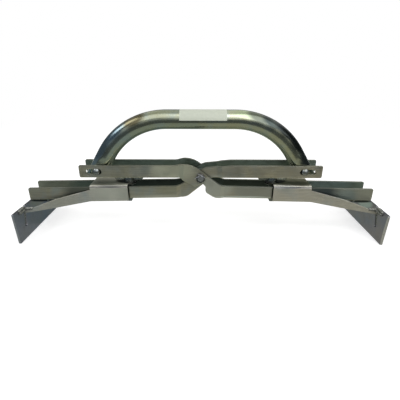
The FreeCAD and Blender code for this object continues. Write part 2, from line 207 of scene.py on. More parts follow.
def primitive(operator: Callable[..., Any], **settings: Any) -> Piece:
    """Add a primitive with nothing else selected.

    Args:
        operator: The operator of Blender that adds it.
        settings: Its size, place and turn.

    Returns:
        The new object.
    """
    bpy.ops.object.select_all(action="DESELECT")
    operator(**settings)
    return bpy.context.object


def select_where(piece: Piece, test: Callable[[Vector], bool]) -> None:
    """Select vertices in edit mode by their place.

    Args:
        piece: The object that is in edit mode.
        test: Tells from a vertex's place whether it is selected.
    """
    mesh = bmesh.from_edit_mesh(piece.data)
    for vertex in mesh.verts:
        vertex.select_set(test(vertex.co))
    mesh.select_flush_mode()
    bmesh.update_edit_mesh(piece.data)


def modify(piece: Piece, kind: str, **settings: Any) -> None:
    """Add a modifier to an object and apply it at once.

    Args:
        piece: The object.
        kind: Type name of the modifier.
        settings: Attributes of the modifier.
    """
    only(piece)
    modifier = piece.modifiers.new(kind.lower(), kind)
    for name, value in settings.items():
        setattr(modifier, name, value)
    bpy.ops.object.modifier_apply(modifier=modifier.name)


def bevel(piece: Piece, edge_mm: float, segments: int, degrees: float, **settings: Any) -> None:
    """Break the edges that turn by more than an angle in degrees."""
    modify(piece, "BEVEL", width=edge_mm * MM, segments=segments, limit_method="ANGLE",
           angle_limit=math.radians(degrees), **settings)


def join(pieces: Sequence[Piece], name: str) -> Piece:
    """Join several objects into one.

    Args:
        pieces: The objects, of which the first keeps its place.
        name: Name of the joined object.

    Returns:
        The joined object.
    """
    bpy.ops.object.select_all(action="DESELECT")
    for piece in pieces:
        piece.select_set(True)
    bpy.context.view_layer.objects.active = pieces[0]
    bpy.ops.object.join()
    pieces[0].name = name
    return pieces[0]


def outward(piece: Piece) -> None:
    """Merge doubles and make the normals point out."""
    edit(piece)
    bpy.ops.mesh.remove_doubles(threshold=0.005 * MM)
    bpy.ops.mesh.normals_make_consistent(inside=False)
    leave()


def smooth(piece: Piece, angle: float = 35.0) -> None:
    """Shade smooth below an angle in degrees, with normals weighted to the large faces."""
    only(piece)
    bpy.ops.object.shade_smooth_by_angle(angle=math.radians(angle))
    modify(piece, "WEIGHTED_NORMAL", keep_sharp=True, weight=60)


def forged_copy(node: Piece, name: str, edge_mm: float, segments: int = 2) -> Piece:
    """Copy a node's mesh as a welded mesh whose sharp edges are broken, as tumbled parts have.

    Args:
        node: The node to copy.
        name: Name of the new piece.
        edge_mm: Width of the broken edge.
        segments: Faces across the broken edge.

    Returns:
        The new piece, not yet dressed.
    """
    piece = bpy.data.objects.new(name, node.data.copy())
    bpy.context.scene.collection.objects.link(piece)
    edit(piece)
    bpy.ops.mesh.customdata_custom_splitnormals_clear()
    bpy.ops.mesh.remove_doubles(threshold=DOUBLES)
    bpy.ops.mesh.dissolve_limited(angle_limit=math.radians(FLAT_DEGREES))
    leave()
    bevel(piece, edge_mm, segments, degrees=40, use_clamp_overlap=False, miter_outer="MITER_SHARP")
    smooth(piece)
    return piece


def dress(piece: Piece, body: str, finish: Material, replaced: Sequence[str]) -> None:
    """Give a finished piece its material, its body and the nodes that it stands for.

    Args:
        piece: The finished object.
        body: Body that carries it.
        finish: Material of the whole piece.
        replaced: Nodes that it replaces.
    """
    piece.data.materials.clear()
    piece.data.materials.append(finish)
    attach(piece, body)
    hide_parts(*replaced)
    LOG.info("%s on %s: %d faces", piece.name, body, len(piece.data.polygons))


@dataclass(frozen=True)
class Recess:
    """Faces that look inwards, to the lifter's middle plane, which get painted shade."""

    shade: str
    deep: str
    low_mm: float = 66.0
    high_mm: float = 84.0
    near_mm: float = 80.0
    away_mm: float = 125.0

    def tint(self, tree: Tree, place: Socket, colour: Socket) -> Socket:
        """Paint shade on the inward faces, most of all low down beside the pivot.

        Args:
            tree: Node tree of the finish.
            place: Object coordinates.
            colour: Colour of the outer faces.

        Returns:
            The darkened colour.
        """
        facing = add(tree, "TexCoord").outputs["Normal"]
        way = add(tree, "SeparateXYZ", links={0: facing})
        spot = add(tree, "SeparateXYZ", links={0: place})
        product = add(tree, "Math", links={0: way.outputs["Y"], 1: spot.outputs["Y"]},
                      operation="MULTIPLY")
        inward = add(tree, "Math", {1: -MM}, {0: product}, operation="LESS_THAN")
        lower = add(tree, "MapRange", {"From Min": self.high_mm * MM, "From Max": self.low_mm * MM},
                    {"Value": spot.outputs["Z"]}, interpolation_type="SMOOTHSTEP")
        reach = add(tree, "Math", links={0: spot.outputs["X"]}, operation="ABSOLUTE")
        close = add(tree, "MapRange", {"From Min": self.away_mm * MM, "From Max": self.near_mm * MM},
                    {"Value": reach}, interpolation_type="SMOOTHSTEP")
        depth = add(tree, "Math", links={0: lower, 1: close}, operation="MULTIPLY")
        # Painted shade, deepest low down beside the pivot
        dull = add(tree, "Mix", {6: linear(self.shade), 7: linear(self.deep)}, {0: depth},
                   data_type="RGBA")
        mixed = add(tree, "Mix", links={0: inward, 6: colour, 7: dull.outputs[2]}, data_type="RGBA")
        return mixed.outputs[2]


@dataclass(frozen=True)
class Patch:
    """Soft-edged place of painted light and shade in another tone.

    It covers the colour below by its share as far as the firm part of its reach along each axis, and from
    there it fades out. It is turned about X, and swung about Y, by angles in degrees.
    """

    middle_mm: Triple
    reach_mm: Triple
    colour: str
    share: float = 1.0
    firm: float = 0.4
    turn: float = 0.0
    swing: float = 0.0

    def lay(self, tree: Tree, place: Socket, colour: Socket) -> Socket:
        """Lay the patch over a colour.

        Args:
            tree: Node tree of the finish.
            place: Object coordinates.
            colour: Colour below the patch.

        Returns:
            The colour with the patch on it.
        """
        settings = {"Location": [middle * MM for middle in self.middle_mm],
                    "Rotation": (math.radians(self.turn), math.radians(self.swing), 0),
                    "Scale": [reach * MM for reach in self.reach_mm]}
        local = add(tree, "Mapping", settings, {"Vector": place}, vector_type="TEXTURE")
        distance = add(tree, "VectorMath", links={0: local}, operation="LENGTH")
        cover = add(tree, "MapRange", {"From Min": 1.0, "From Max": self.firm, "To Max": self.share},
                    {"Value": distance.outputs["Value"]}, interpolation_type="SMOOTHSTEP")
        mixed = add(tree, "Mix", {7: linear(self.colour)}, {0: cover, 6: colour}, data_type="RGBA")
        return mixed.outputs[2]


def mirrored(patch: Patch) -> Tuple[Patch, Patch]:
    """Give a patch of the right half and its mirror image on the left half."""
    across, along, up = patch.middle_mm
    return patch, replace(patch, middle_mm=(-across, along, up), swing=-patch.swing)


def bend_patch(side: Side, angle: float, colour: str, share: float) -> Patch:
    """Long patch of painted shade on the outer side of a bend of the tube.

    Args:
        side: Which bend.
        angle: Place along the bend, in degrees from the top.
        colour: Tone of the patch.
        share: How far it covers.

    Returns:
        The patch, turned along the bend.
    """
    start_mm, centre_mm, bend_mm, front_mm = 45.0, 57.4, 107.0, -6.0
    across = start_mm + bend_mm * math.sin(math.radians(angle))
    up = centre_mm + bend_mm * math.cos(math.radians(angle))
    middle = (side.sign * across, front_mm, up)
    return Patch(middle, (22, 16, 13.5), colour, share, firm=0.5, swing=side.sign * angle)


@dataclass(frozen=True)
class Facet:
    """Faces told by their normal, such as broken edges, within a sideways and an upward range, which get
    painted light and shade.
    """

    colour: str
    share: float
    sideways: Pair
    upward: Pair

    def within(self, tree: Tree, value: Socket, limits: Pair) -> Socket:
        """Give 1 where a value lies between two limits."""
        low, high = limits
        return add(tree, "Math", {1: (low + high) / 2, 2: (high - low) / 2}, {0: value},
                   operation="COMPARE").outputs[0]

    def lay(self, tree: Tree, colour: Socket) -> Socket:
        """Lay the painted light and shade over a colour on the chosen faces.

        Args:
            tree: Node tree of the finish.
            colour: Colour below.

        Returns:
            The colour with the faces toned.
        """
        facing = add(tree, "TexCoord").outputs["Normal"]
        way = add(tree, "SeparateXYZ", links={0: facing})
        size = add(tree, "Math", links={0: way.outputs["Y"]}, operation="ABSOLUTE")
        beside = self.within(tree, size.outputs[0], self.sideways)
        above = self.within(tree, way.outputs["Z"], self.upward)
        both = add(tree, "Math", links={0: beside, 1: above}, operation="MULTIPLY")
        cover = add(tree, "Math", {1: self.share}, {0: both}, operation="MULTIPLY")
        mixed = add(tree, "Mix", {7: linear(self.colour)}, {0: cover, 6: colour}, data_type="RGBA")
        return mixed.outputs[2]


@dataclass(frozen=True)
class ZincPlate:
    """Electroplated zinc with a thin chromate film on mild steel.

    The bare zinc is a satin blue grey, and the film lays yellow green and faint violet patches over it.
    """

    name: str
    base: str
    warm: str
    cool: str
    stain: str
    roughness: float
    roughness_spread: float = 0.12
    patch_mm: float = 24.0
    streak_mm: float = 1.6
    streak_length_mm: float = 45.0
    speck_mm: float = 1.1
    grain_mm: float = 0.45
    grain_depth_mm: float = 0.02
    wave_mm: float = 14.0
    wave_depth_mm: float = 0.05
    patch_share: float = 0.75
    streak_share: float = 0.35
    stain_share: float = 0.5
    recess: Optional[Recess] = None
    patches: Tuple[Patch, ...] = ()
    facets: Tuple[Facet, ...] = ()
    # Painted shade from ambient occlusion: its colour, reach and strongest share
    grime: str = "#2E302C"
    grime_mm: float = 5.0
    grime_share: float = 0.75

    def make(self) -> Material:
        """Build the material."""
        material = bare_material(self.name)
        tree = material.node_tree
        place = add(tree, "TexCoord").outputs["Object"]
        at = {"Vector": place}

        # Film thickness: broad soft patches, warm where thick and cool where thin
        patches = add(tree, "TexNoise",
                      {"Scale": per_metre(self.patch_mm), "Detail": 4.0, "Roughness": 0.55,
                       "Distortion": 0.4}, at)
        warmth = add(tree, "MapRange", {"From Min": 0.42, "From Max": 0.68, "To Max": self.patch_share},
                     {"Value": patches})
        coolness = add(tree, "MapRange", {"From Min": 0.5, "From Max": 0.3, "To Max": self.patch_share},
                       {"Value": patches})
        first = add(tree, "Mix", {6: linear(self.base), 7: linear(self.warm)}, {0: warmth},
                    data_type="RGBA")
        second = add(tree, "Mix", {7: linear(self.cool)}, {0: coolness, 6: first.outputs[2]},
                     data_type="RGBA")

        # Rolling marks: fine streaks along the length of the bar
        stretched = add(tree, "Mapping",
                        {"Scale": (1 / self.streak_length_mm, 1 / self.streak_mm, 1 / self.streak_mm)},
                        at)
        streaks = add(tree, "TexNoise", {"Scale": 1 / MM, "Detail": 3.0, "Roughness": 0.6},
                      {"Vector": stretched})
        streak = add(tree, "MapRange",
                     {"From Min": 0.35, "From Max": 0.65, "To Min": 1 - self.streak_share, "To Max": 1.0},
                     {"Value": streaks})
        third = add(tree, "Mix", {0: 1.0}, {6: second.outputs[2], 7: streak}, data_type="RGBA",
                    blend_type="MULTIPLY")

        # Handling stains and plating specks
        blots = add(tree, "TexNoise",
                    {"Scale": per_metre(self.patch_mm / 2), "Detail": 6.0, "Roughness": 0.7}, at)
        specks = add(tree, "TexNoise", {"Scale": per_metre(self.speck_mm), "Detail": 2.0}, at)
        both = add(tree, "Math", links={0: blots, 1: specks}, operation="MULTIPLY")
        stained = add(tree, "MapRange", {"From Min": 0.27, "From Max": 0.42, "To Max": self.stain_share},
                      {"Value": both})
        colour = add(tree, "Mix", {7: linear(self.stain)}, {0: stained, 6: third.outputs[2]},
                     data_type="RGBA")

        # Dull and brighter areas
        dull = add(tree, "MapRange",
                   {"From Min": 0.3, "From Max": 0.7, "To Min": self.roughness - self.roughness_spread,
                    "To Max": self.roughness + self.roughness_spread}, {"Value": blots})

        # Crystal grain of the plating over the slight waviness of the rolled steel
        grain = add(tree, "TexNoise", {"Scale": per_metre(self.grain_mm), "Detail": 3.0}, at)
        wave = add(tree, "TexNoise", {"Scale": per_metre(self.wave_mm), "Detail": 2.0}, at)
        fine = add(tree, "Bump", {"Strength": 0.5, "Distance": self.grain_depth_mm * MM},
                   {"Height": grain})
        relief = add(tree, "Bump", {"Strength": 0.6, "Distance": self.wave_depth_mm * MM},
                     {"Height": wave, "Normal": fine})

        # Painted shade on inward faces, then painted light and shade in patches and on faces by their
        # direction
        tone = colour.outputs[2]
        if self.recess:
            tone = self.recess.tint(tree, place, tone)
        for patch in self.patches:
            tone = patch.lay(tree, place, tone)
        for facet in self.facets:
            tone = facet.lay(tree, tone)

        # Painted shade in corners and where pieces lie close together, from ambient occlusion
        shelter = add(tree, "AmbientOcclusion", {"Distance": self.grime_mm * MM}, samples=8)
        shade_cover = add(tree, "MapRange", {"From Min": 0.8, "From Max": 0.25, "To Max": self.grime_share},
                   {"Value": shelter.outputs["AO"]})
        shaded_tone = add(tree, "Mix", {7: linear(self.grime)}, {0: shade_cover, 6: tone}, data_type="RGBA")
        shader = add(tree, "BsdfPrincipled", {"Metallic": 1.0},
                     {"Base Color": shaded_tone.outputs[2], "Roughness": dull, "Normal": relief})
        add(tree, "OutputMaterial", links={"Surface": shader})
        return material


@dataclass(frozen=True)
class Paper:
    """Coated label paper: white, smooth and slightly glossy, with a faint fibre cloudiness."""

    name: str = "coated_label_paper"
    base: str = "#DCE2D2"
    shade: str = "#CBD1C1"
    fibre_mm: float = 3.0

    def make(self) -> Material:
        """Build the material."""
        material = bare_material(self.name)
        tree = material.node_tree
        place = add(tree, "TexCoord").outputs["Object"]
        cloud = add(tree, "TexNoise", {"Scale": per_metre(self.fibre_mm), "Detail": 6.0},
                    {"Vector": place})
        colour = add(tree, "Mix", {6: linear(self.shade), 7: linear(self.base)}, {0: cloud},
                     data_type="RGBA")
        relief = add(tree, "Bump", {"Strength": 0.3, "Distance": 0.02 * MM}, {"Height": cloud})
        shader = add(tree, "BsdfPrincipled", {"Roughness": 0.42},
                     {"Base Color": colour.outputs[2], "Normal": relief})
        add(tree, "OutputMaterial", links={"Surface": shader})
        return material


@dataclass(frozen=True)
class WeldMetal:
    """Weld bead plated over: rougher than the sheet, with dark scale left in the ripples."""

    name: str = "zinc_over_weld_bead"
    bright: str = "#B2B4B0"
    dark: str = "#6A6B64"
    ripple_mm: float = 1.4
    scale_mm: float = 0.6

    def make(self) -> Material:
        """Build the material."""
        material = bare_material(self.name)
        tree = material.node_tree
        place = add(tree, "TexCoord").outputs["Object"]
        ripples = add(tree, "TexNoise",
                      {"Scale": per_metre(self.ripple_mm), "Detail": 5.0, "Roughness": 0.65},
                      {"Vector": place})
        share = add(tree, "MapRange", {"From Min": 0.36, "From Max": 0.62}, {"Value": ripples})
        colour = add(tree, "Mix", {6: linear(self.dark), 7: linear(self.bright)}, {0: share},
                     data_type="RGBA")
        dull = add(tree, "MapRange", {"To Min": 0.72, "To Max": 0.5}, {"Value": share})
        scale = add(tree, "TexNoise", {"Scale": per_metre(self.scale_mm), "Detail": 4.0},
                    {"Vector": place})
        relief = add(tree, "Bump", {"Strength": 0.8, "Distance": 0.12 * MM}, {"Height": scale})
        shader = add(tree, "BsdfPrincipled", {"Metallic": 1.0},
                     {"Base Color": colour.outputs[2], "Roughness": dull, "Normal": relief})
        add(tree, "OutputMaterial", links={"Surface": shader})
        return material


@dataclass(frozen=True)
class Nylon:
    """Blue polyamide ring of a lock nut: waxy, with a slight mottle."""

    name: str = "blue_polyamide"
    base: str = "#3C6FA8"
    shade: str = "#2F5C90"
    mottle_mm: float = 1.5

    def make(self) -> Material:
        """Build the material."""
        material = bare_material(self.name)
        tree = material.node_tree
        place = add(tree, "TexCoord").outputs["Object"]
        mottle = add(tree, "TexNoise", {"Scale": per_metre(self.mottle_mm)}, {"Vector": place})
        colour = add(tree, "Mix", {6: linear(self.shade), 7: linear(self.base)}, {0: mottle},
                     data_type="RGBA")
        shader = add(tree, "BsdfPrincipled", {"Roughness": 0.45, "IOR": 1.53},
                     {"Base Color": colour.outputs[2]})
        add(tree, "OutputMaterial", links={"Surface": shader})
        return material


# Painted light and shade on each finish: a later patch lies over an earlier one
ARM_PAINTED_SHADING = (
    # Painted light and shade on the front limbs beside the pivot
    Patch((-38, -17, 93), (40, 9, 30), "#F7F6DC", 0.8),
    Patch((20, -16, 66), (32, 9, 22), "#DDDFD5", 0.95, 0.5),
    Patch((80, -16, 62), (44, 8, 22), "#B9BAB2", 0.8, 0.5),
    # Painted shade on the ends of the right lower limbs, front and back
    Patch((202, -16, 50), (28, 8, 24), "#A8B6B4", 0.9, 0.3),
    Patch((228, -16, 56), (18, 8, 22), "#C2C4B6", 0.9, 0.4),
    Patch((188, 12, 60), (44, 5, 22), "#9CB0B4", 0.6),
    # Painted shade on the upper limb right of the pivot
    Patch((45, -12, 90), (30, 8, 18), "#A8A69A", 0.85, 0.3),
    # Painted shade on the lower limbs just outside the sleeves
    Patch((-166, -13, 56), (34, 12, 30), "#7A7D73", 0.95, 0.4),
    Patch((166, -13, 56), (34, 12, 30), "#4F5C60", 0.95, 0.4),
    # Painted light on the end of the left back limb
    Patch((-222, 12, 60), (50, 5, 22), "#BABBA9", 0.9),
    # Lit lower edges of the front limbs
    Patch((60, -17.6, 51.1), (62, 3, 2.2), "#F6FFFA", 0.9, 0.5, swing=1.05),
    Patch((-60, -17.6, 51.3), (64, 3, 5), "#F8F2DE", 0.9, 0.2, swing=-1.05),
    # Painted shade of the gap against the sleeves' inner ends
    *mirrored(Patch((99.3, -15, 58), (1.5, 6, 22), "#141614", 0.9, 0.5)),
)
# Painted shade on the top faces and upper broken edges, painted highlight on the lower broken edges
ARM_PAINTED_FACETS = (
    Facet("#4E524A", 0.85, (0.2, 0.97), (0.1, 1.0)),
    Facet("#34382F", 0.85, (0.0, 0.2), (0.45, 0.93)),
    Facet("#62665C", 0.6, (0.0, 0.2), (0.93, 1.0)),
    Facet("#F8F4D4", 0.9, (0.2, 0.97), (-1.0, -0.1)),
)
JAW_PAINTED_SHADING = (
    # Painted shade on both sleeves, deeper on the right
    Patch((126, 0, 66), (70, 15, 40), "#84836E", 1.0, 0.85),
    Patch((-126, 0, 66), (70, 15, 40), "#BCBAB0", 1.0, 0.85),
    # Painted light on the left sleeve's front, and painted shade lines along both top edges
    Patch((-126, -17, 60), (45, 6, 30), "#FDFAEC", 0.9),
    Patch((-126, -18, 70), (32, 4, 3), "#B4B7B2", 0.95, 0.8),
    Patch((-126, -19.5, 66.3), (28, 2, 1.5), "#787A7C", 0.85, 0.3),
    Patch((126, -19.5, 66.3), (28, 2, 1.5), "#6E7072", 0.85, 0.3),
    # Painted shadow at the inner ends of the sleeves, under the wing nuts
    *mirrored(Patch((101, 3, 69), (22, 15, 12), "#101314", 0.95, 0.7)),
    *mirrored(Patch((101, 16, 46), (9, 7, 9), "#141616", 0.9, 0.6)),
    # Painted shadow band across the jaw arms
    *mirrored(Patch((225, 27, 26.2), (10, 4, 2.4), "#15191A", 0.8, 0.4)),
)
# Painted highlight on the upper bends and lower broken edges, painted shade on the lower part of the bends
# and on the end faces
JAW_PAINTED_FACETS = (
    Facet("#FFFFFA", 0.35, (0.2, 0.6), (0.15, 1.0)),
    Facet("#3A3C40", 0.75, (0.6, 0.94), (0.15, 1.0)),
    Facet("#0E1010", 0.9, (0.0, 0.2), (-0.25, 0.25)),
    Facet("#FAFAF2", 0.8, (0.2, 0.96), (-1.0, -0.1)),
)
BLADE_PAINTED_SHADING = (
    # Painted reflections on the blades between the arms
    Patch((239, 2, 35), (3, 26, 9), "#DCE9E8", 0.9, 0.6, turn=-15),
    Patch((-239, 2, 35), (3, 26, 9), "#C4BEB4", 0.8, 0.5, turn=-15),
    # Painted shadow band across the blades
    *mirrored(Patch((239, 18, 30.4), (3, 46, 2.6), "#0C0F0F", 0.95, 0.6, turn=-22.7)),
    # Lit end of the right blade
    Patch((242, -59, 21), (6, 2.4, 40), "#F6F6F4", 0.8, 0.6),
)
TUBE_PAINTED_SHADING = (
    # Painted shade on the right part of the top
    Patch((60, -6, 162), (28, 9, 8), "#B0BE9E", 0.9, 0.4),
    # Painted shade on the outer side of the two bends
    bend_patch(Side.RIGHT, 17, "#5E645C", 0.9),
    bend_patch(Side.RIGHT, 28, "#3C4444", 0.95),
    bend_patch(Side.RIGHT, 39, "#343A3D", 0.95),
    bend_patch(Side.RIGHT, 51, "#3C4245", 0.95),
    bend_patch(Side.RIGHT, 66, "#485054", 0.85),
    bend_patch(Side.LEFT, 24, "#5E563C", 0.9),
    bend_patch(Side.LEFT, 40, "#738690", 0.85),
    bend_patch(Side.LEFT, 56, "#66747C", 0.7),
    # Painted shade along the top edge
    Patch((0, 2.5, 168), (130, 9.5, 4.4), "#6F8177", 0.95, 0.6),
)
# Painted shade on the bolt's side faces
BOLT_PAINTED_FACETS = (
    Facet("#24282A", 0.75, (0.0, 0.85), (-1.0, 1.0)),
)
# Painted highlight on the blades' end faces, painted shade on their top faces
BLADE_PAINTED_FACETS = (
    Facet("#D8D8DC", 0.6, (0.6, 1.0), (-0.6, 0.6)),
    Facet("#4C5056", 0.85, (0.0, 0.8), (0.6, 1.0)),
)


@dataclass
class Finishes:
    """One material for each finish on the lifter."""

    arm: Material
    jaw: Material
    blade: Material
    tube: Material
    fastener: Material
    bolt: Material
    wing: Material
    weld: Material
    label: Material
    nylon: Material

    @classmethod
    def mix(cls) -> "Finishes":
        """Build all the materials."""
        return cls(
            arm=ZincPlate("zinc_plate_on_flat_bar", "#D3D0C1", "#CFC8AB", "#C4CBC4", "#A7A68E", 0.46,
                          streak_share=0.16, stain_share=0.35, recess=Recess("#8C9A90", "#4E5650"),
                          patches=ARM_PAINTED_SHADING, facets=ARM_PAINTED_FACETS).make(),
            jaw=ZincPlate("zinc_plate_on_bent_sheet", "#EDE9DF", "#E6E1D2", "#E0E3E0", "#BAB9AE", 0.48,
                          streak_length_mm=30.0, streak_share=0.14, stain_share=0.35,
                          recess=Recess("#6E7A72", "#4E5650"), patches=JAW_PAINTED_SHADING,
                          facets=JAW_PAINTED_FACETS).make(),
            blade=ZincPlate("zinc_plate_on_blade", "#B0B0BE", "#B2AEB2", "#A4A9BC", "#8E8F98", 0.38,
                            streak_length_mm=30.0, wave_depth_mm=0.09, streak_share=0.16,
                            stain_share=0.35, patches=BLADE_PAINTED_SHADING, facets=BLADE_PAINTED_FACETS,
                            grime_share=0.5).make(),
            tube=ZincPlate("yellow_chromated_zinc_on_tube", "#C6CEBC", "#CBCBA8", "#BAC9C8", "#A8AC9E", 0.2,
                           roughness_spread=0.04, streak_length_mm=80.0, streak_share=0.12,
                           stain_share=0.15, grain_depth_mm=0.004, wave_depth_mm=0.02, grime_mm=3.0,
                           patches=TUBE_PAINTED_SHADING).make(),
            fastener=ZincPlate("bright_zinc_on_fasteners", "#A6ACAE", "#A4A498", "#98A2A8", "#5E605C", 0.32,
                               patch_mm=4.0, streak_length_mm=4.0, wave_depth_mm=0.02,
                               grime_mm=2.5, grime_share=0.9).make(),
            bolt=ZincPlate("bright_zinc_on_pivot_bolt", "#F2F4FA", "#D6D6D2", "#DEE4F2", "#44444A", 0.3,
                           patch_mm=3.0, streak_length_mm=3.0, stain_share=0.8, wave_depth_mm=0.02,
                           facets=BOLT_PAINTED_FACETS, grime_mm=2.0).make(),
            wing=ZincPlate("zinc_plate_on_cast_wing_nut", "#A8B0AE", "#9EA094", "#94A0A4", "#3C3E3C", 0.22,
                           patch_mm=5.0, streak_length_mm=4.0, grain_depth_mm=0.05, grime_mm=4.0).make(),
            weld=WeldMetal().make(),
            label=Paper().make(),
            nylon=Nylon().make(),
        )


@dataclass
class Arms:
    """The two crossed pairs of flat bars."""

    nodes: Dict[str, Piece]
    finishes: Finishes
    edge_mm: float = 0.8

    def build(self) -> None:
        """Model the four bars from their blanks, with the rounded edges of rolled flat bar."""
        for body in ("outer_arm", "inner_arm"):
            for face in ("front", "back"):
                node = f"{body}_{face}"
                bar = forged_copy(self.nodes[node], f"{node}_bar", self.edge_mm, 3)
                dress(bar, body, self.finishes.arm, [node])


@dataclass
class Pivot:
    """Bolt, washer, lock nut and spacer of the pivot."""

    nodes: Dict[str, Piece]
    finishes: Finishes
    edge_mm: float = 0.3
    head_edge_mm: float = 1.1
    nut_hex_share: float = 0.66
    nut_inset_mm: float = 1.2
    nut_face_from: float = 0.9
    nut_rounding: float = 0.35
    collar_radius_mm: float = 4.3
    ring_radius_mm: float = 3.9
    ring_hole_mm: float = 2.85

    def build(self) -> None:
        """Model the pivot's pieces."""
        edges_mm = {"bolt": self.head_edge_mm, "washer": self.edge_mm, "spacer": self.edge_mm}
        for word, edge_mm in edges_mm.items():
            node = f"pivot_{word}"
            piece = forged_copy(self.nodes[node], f"{node}_part", edge_mm, 3)
            finish = self.finishes.bolt if word == "bolt" else self.finishes.fastener
            dress(piece, "pivot", finish, [node])
        self.lock_nut()

    def lock_nut(self) -> None:
        """Hexagon with a round collar that holds a polyamide ring."""
        low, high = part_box("pivot_nut")
        middle = (low + high) / 2
        depth = high.y - low.y
        hexagon = depth * self.nut_hex_share
        turned = (QUARTER_TURN, 0, 0)
        nut = primitive(bpy.ops.mesh.primitive_cylinder_add, vertices=6, radius=(high.z - low.z) / 2,
                        depth=hexagon, rotation=turned,
                        location=(middle.x, low.y + hexagon / 2, middle.z))
        settle(nut)
        edit(nut, False)
        select_where(nut, lambda place: place.y > low.y + hexagon * self.nut_face_from)
        bpy.ops.mesh.inset(thickness=self.nut_inset_mm * MM)
        bpy.ops.mesh.vertices_smooth(factor=self.nut_rounding, repeat=1)
        leave()
        bevel(nut, self.edge_mm, segments=3, degrees=25)

        edge = self.edge_mm * MM
        collar = primitive(bpy.ops.mesh.primitive_cylinder_add, vertices=48, rotation=turned,
                           radius=self.collar_radius_mm * MM, depth=depth - hexagon + edge,
                           location=(middle.x, (low.y + hexagon + high.y - edge) / 2, middle.z))
        settle(collar)
        bevel(collar, 2 * self.edge_mm, segments=4, degrees=40)

        ring = primitive(bpy.ops.mesh.primitive_torus_add, location=(middle.x, high.y - edge, middle.z),
                         rotation=turned, major_segments=48, minor_segments=12,
                         major_radius=(self.ring_radius_mm + self.ring_hole_mm) / 2 * MM,
                         minor_radius=(self.ring_radius_mm - self.ring_hole_mm) / 2 * MM)
        settle(ring)
        nut = join([nut, collar], "pivot_lock_nut")
        smooth(nut)
        smooth(ring)
        ring.name = "pivot_lock_ring"
        dress(nut, "pivot", self.finishes.fastener, ["pivot_nut"])
        dress(ring, "pivot", self.finishes.nylon, [])


@dataclass
class Handle:
    """Bent tube with squeezed ends, its label and its two rivets."""

    nodes: Dict[str, Piece]
    finishes: Finishes
    pivot: Vector
    diameter_mm: float = 25.0
    wall_mm: float = 2.0
    rise_mm: float = 74.7
    top_half_mm: float = 45.0
    bend_radius_mm: float = 97.0
    leg_degrees: float = 58.0
    squeezed_mm: float = 22.4
    squeeze_run_mm: float = 15.0
    foot_mm: float = 24.0
    ring_points: int = 72
    bend_steps: int = 40
    squeeze_steps: int = 9
    foot_edge_mm: float = 0.25
    pin_radius_mm: float = 3.0
    pin_edge_mm: float = 0.15
    paper_edge_mm: float = 0.04

    def build(self) -> None:
        """Model the handle."""
        self.tube()
        label = forged_copy(self.nodes["handle_label"], "handle_paper_label", self.paper_edge_mm, 1)
        dress(label, "handle", self.finishes.label, ["handle_label"])
        for side in Side:
            node = f"{side.word}_handle_pin"
            pin = forged_copy(self.nodes[node], f"{side.word}_handle_rivet", self.pin_edge_mm)
            dress(pin, "handle", self.finishes.fastener, [node])

    def tube(self) -> None:
        """Bend one half of the tube, squeeze its end, cut it level and mirror it."""
        radius = self.diameter_mm / 2 * MM
        rise = self.pivot.z + self.rise_mm * MM
        turn = math.radians(self.leg_degrees)
        down = Vector((math.cos(turn), 0, -math.sin(turn)))
        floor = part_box("handle_tube")[0].z
        tube = primitive(bpy.ops.mesh.primitive_circle_add, vertices=self.ring_points, radius=radius,
                         fill_type="NOTHING", location=(0, 0, rise), rotation=(0, QUARTER_TURN, 0))
        tube.name = "handle_bent_tube"
        settle(tube)
        edit(tube)
        bpy.ops.mesh.extrude_region_move(TRANSFORM_OT_translate={"value": (self.top_half_mm * MM, 0, 0)})
        bpy.ops.mesh.spin(steps=self.bend_steps, angle=-turn, axis=(0, 1, 0),
                          center=(self.top_half_mm * MM, 0, rise - self.bend_radius_mm * MM))
        step = self.squeeze_run_mm / self.squeeze_steps * MM
        flat = self.squeezed_mm / 2 * MM
        for count in range(1, self.squeeze_steps + 1):
            bpy.ops.mesh.extrude_region_move(TRANSFORM_OT_translate={"value": down * step})
            share = count / self.squeeze_steps
            ease = share * share * (3 - 2 * share)
            self.press(tube, radius + (flat - radius) * ease)
        bpy.ops.mesh.extrude_region_move(TRANSFORM_OT_translate={"value": down * self.foot_mm * MM})
        bpy.ops.mesh.select_all(action="SELECT")
        bpy.ops.mesh.bisect(plane_co=(0, 0, floor), plane_no=(0, 0, -1), clear_outer=True, use_fill=False)
        leave()
        modify(tube, "MIRROR", use_axis=(True, False, False), merge_threshold=0.01 * MM)
        outward(tube)
        modify(tube, "SOLIDIFY", thickness=self.wall_mm * MM, offset=-1.0, use_even_offset=True)
        self.bore(tube)
        bevel(tube, self.foot_edge_mm, segments=2, degrees=50, use_clamp_overlap=False)
        smooth(tube)
        dress(tube, "handle", self.finishes.tube, ["handle_tube"])

    def press(self, tube: Piece, limit: float) -> None:
        """Flatten the selected ring between two dies.

        Args:
            tube: The tube in edit mode.
            limit: Distance of each die from the middle plane, in metres.
        """
        mesh = bmesh.from_edit_mesh(tube.data)
        for vertex in mesh.verts:
            if vertex.select:
                vertex.co.y = max(-limit, min(limit, vertex.co.y))
        bmesh.update_edit_mesh(tube.data)

    def bore(self, tube: Piece) -> None:
        """Drill the rivet holes through both ends."""
        for side in Side:
            low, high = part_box(f"{side.word}_handle_pin")
            drill = primitive(bpy.ops.mesh.primitive_cylinder_add, vertices=32,
                              radius=self.pin_radius_mm * MM, depth=high.y - low.y,
                              location=(low + high) / 2, rotation=(QUARTER_TURN, 0, 0))
            settle(drill)
            modify(tube, "BOOLEAN", object=drill, operation="DIFFERENCE", solver="EXACT")
            bpy.data.objects.remove(drill)


